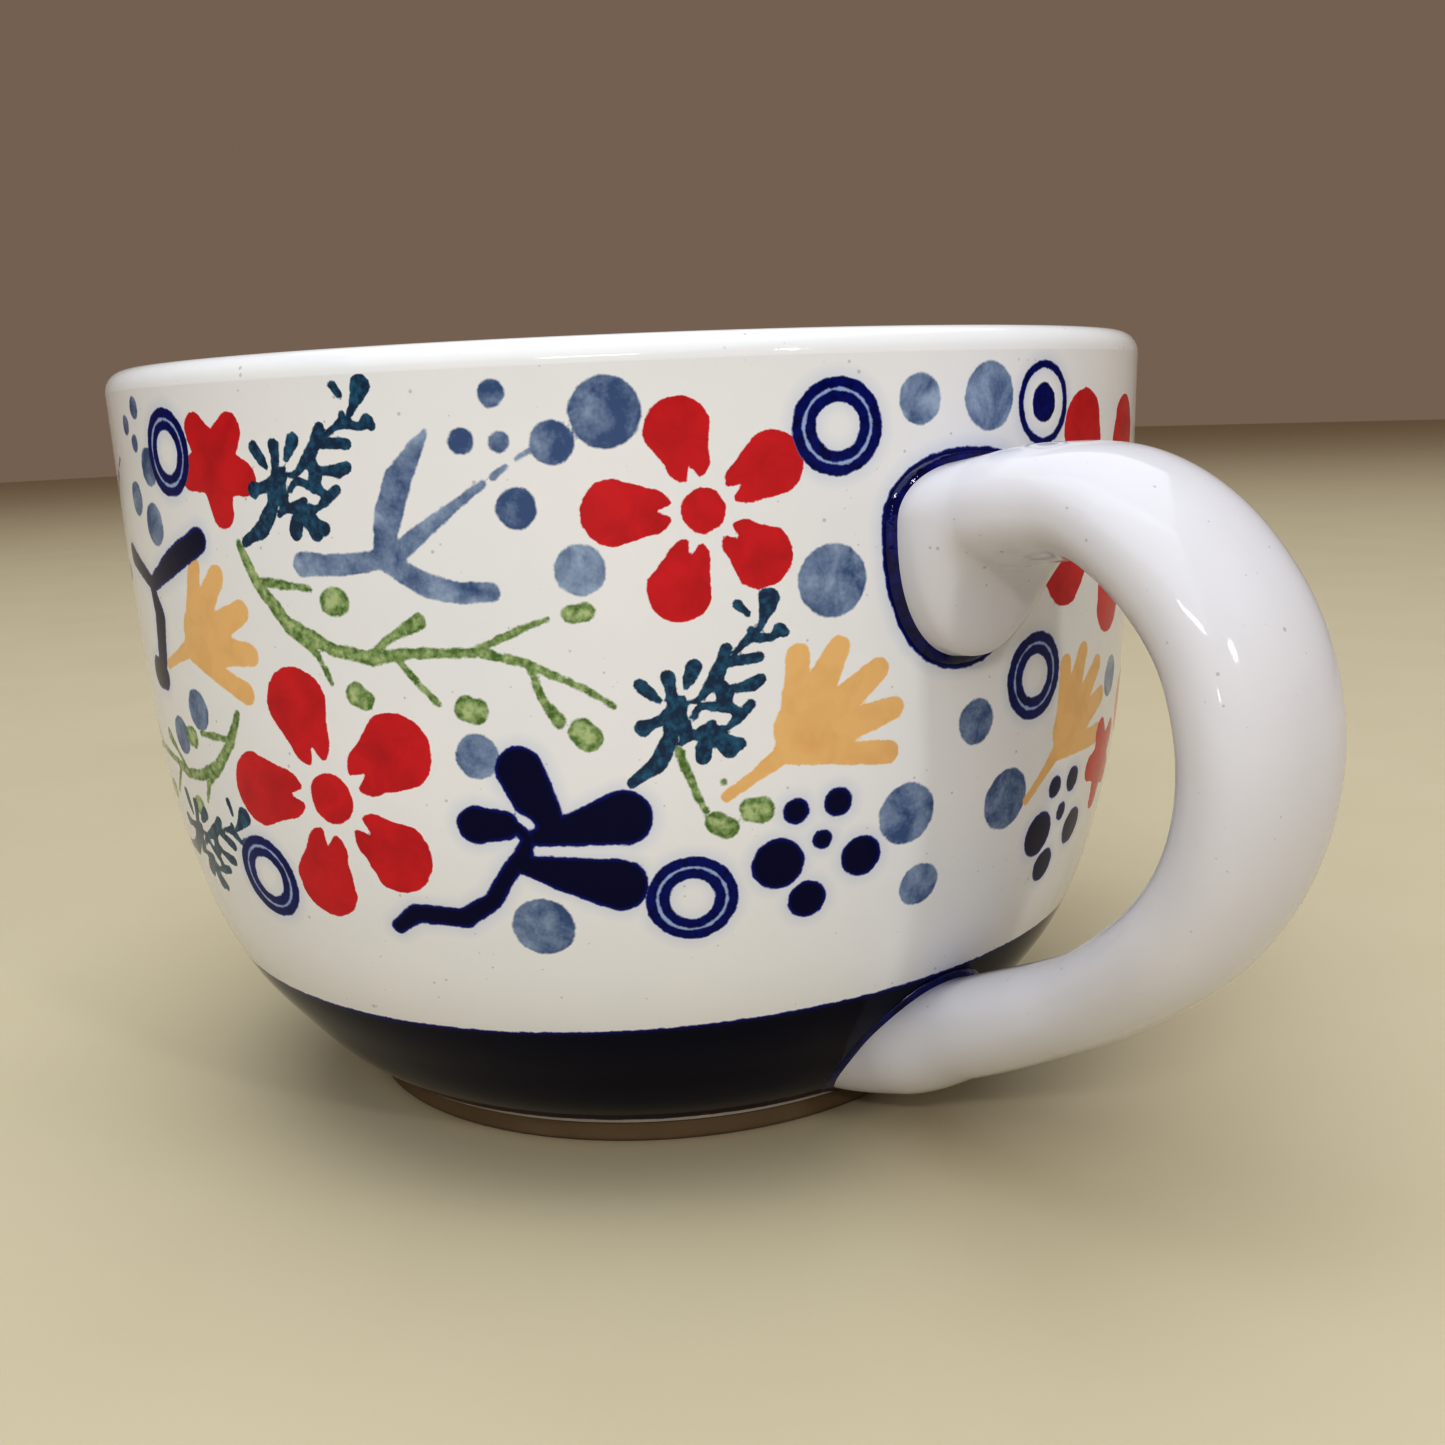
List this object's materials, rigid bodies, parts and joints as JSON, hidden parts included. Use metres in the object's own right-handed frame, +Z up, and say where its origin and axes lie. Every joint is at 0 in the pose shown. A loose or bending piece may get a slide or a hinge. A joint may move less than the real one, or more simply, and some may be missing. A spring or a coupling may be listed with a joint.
{
  "type": "stoneware mug",
  "caption": "Wide round stoneware mug with a rounded base, a bare foot ring, painted wildflowers and a thick loop handle stuck on with slip.",
  "frame": {"origin": "middle of the bounding box on the plane that the foot stands on", "axes": "+Z up through the mouth, +X towards the handle, +Y away from a viewer who has the handle on their right"},
  "size_m": [0.1456, 0.114, 0.081],
  "materials": {
    "painted_glaze": "glossy clear glaze over warm white clay, painted underneath in cobalt, red, blue wash, green, teal and ochre",
    "white_glaze": "glossy clear glaze over warm white clay with fine specks",
    "cobalt_slip": "glossy dark cobalt under clear glaze, thinner and bluer at its edges",
    "bare_clay": "matt unglazed buff stoneware, finely gritty"
  },
  "bodies": {
    "root": {"cup_body": "painted_glaze", "foot_ring": "bare_clay", "handle": "white_glaze", "upper_slip_seam": "cobalt_slip", "lower_slip_seam": "cobalt_slip"}
  },
  "joints": []
}
